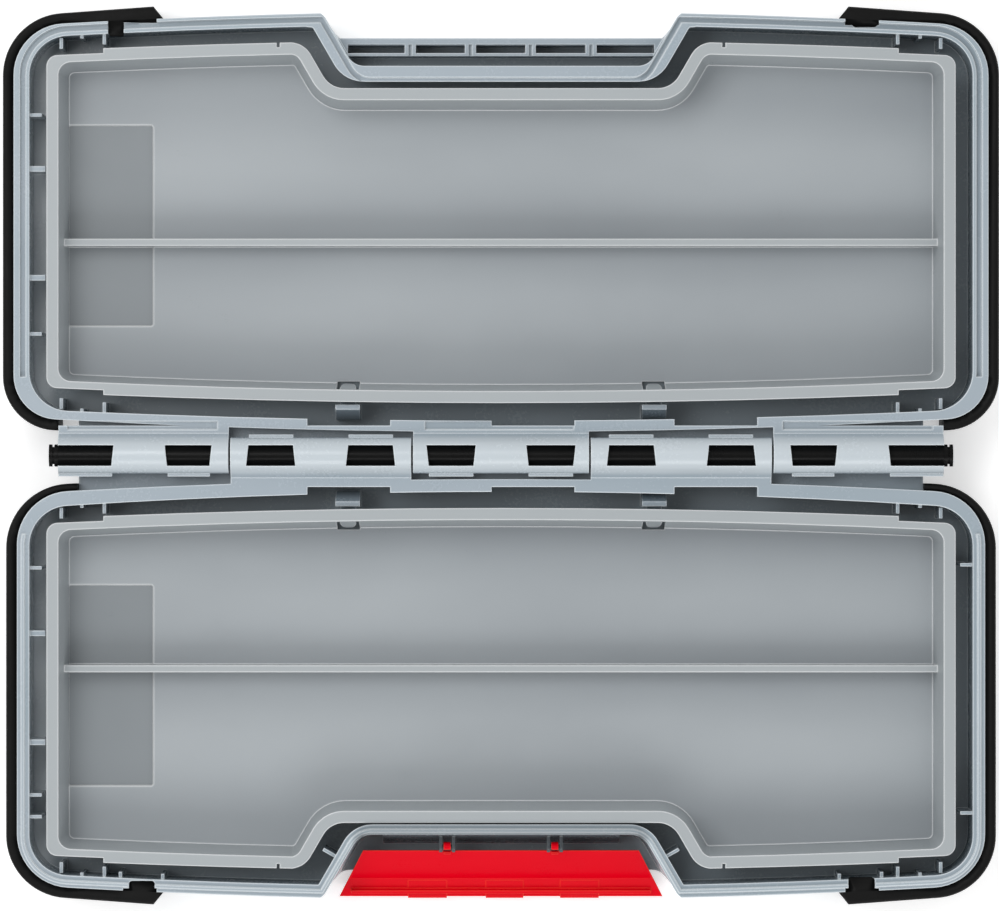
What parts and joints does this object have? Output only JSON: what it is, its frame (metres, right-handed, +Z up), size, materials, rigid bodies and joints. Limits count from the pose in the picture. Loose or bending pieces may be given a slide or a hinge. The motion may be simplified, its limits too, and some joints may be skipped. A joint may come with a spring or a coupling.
{
  "type": "hinged saw blade accessory case",
  "caption": "Shallow two-half plastic accessory case lying open flat, with snap-in trays, rubber corner bumpers, a full-length barrel hinge with windows, a finger notch and a red body latch",
  "frame": {"origin": "on the table at the middle of the hinge, straight below the hinge axis", "axes": "X runs along the hinge towards the right-hand end, Y runs from the base half to the lid half, Z points up away from the table"},
  "size_m": [0.266, 0.2398, 0.0278],
  "materials": {
    "shell_plastic": "smoky translucent polypropylene, fine satin grain",
    "tray_plastic": "milky grey translucent polypropylene, soft sheen",
    "bumper_rubber": "black overmoulded rubber, satin",
    "pin_plastic": "black rod, smooth",
    "latch_plastic": "glossy red moulding"
  },
  "bodies": {
    "base": {"base_shell": "shell_plastic", "base_tray": "tray_plastic", "base_bumper_left": "bumper_rubber", "base_bumper_right": "bumper_rubber", "hinge_pin": "pin_plastic"},
    "lid": {"lid_shell": "shell_plastic", "lid_tray": "tray_plastic", "lid_bumper_left": "bumper_rubber", "lid_bumper_right": "bumper_rubber"},
    "latch": {"latch": "latch_plastic"}
  },
  "joints": [
    {"name": "lid_hinge", "type": "hinge", "parent": "base", "child": "lid", "pos_m": [0, 0, 0.023], "axis": [1, 0, 0], "range_deg": [0, 180]},
    {"name": "latch_hinge", "type": "hinge", "parent": "base", "child": "latch", "pos_m": [0, -0.1049, 0.0176], "axis": [-1, 0, 0], "range_deg": [0, 107]}
  ]
}
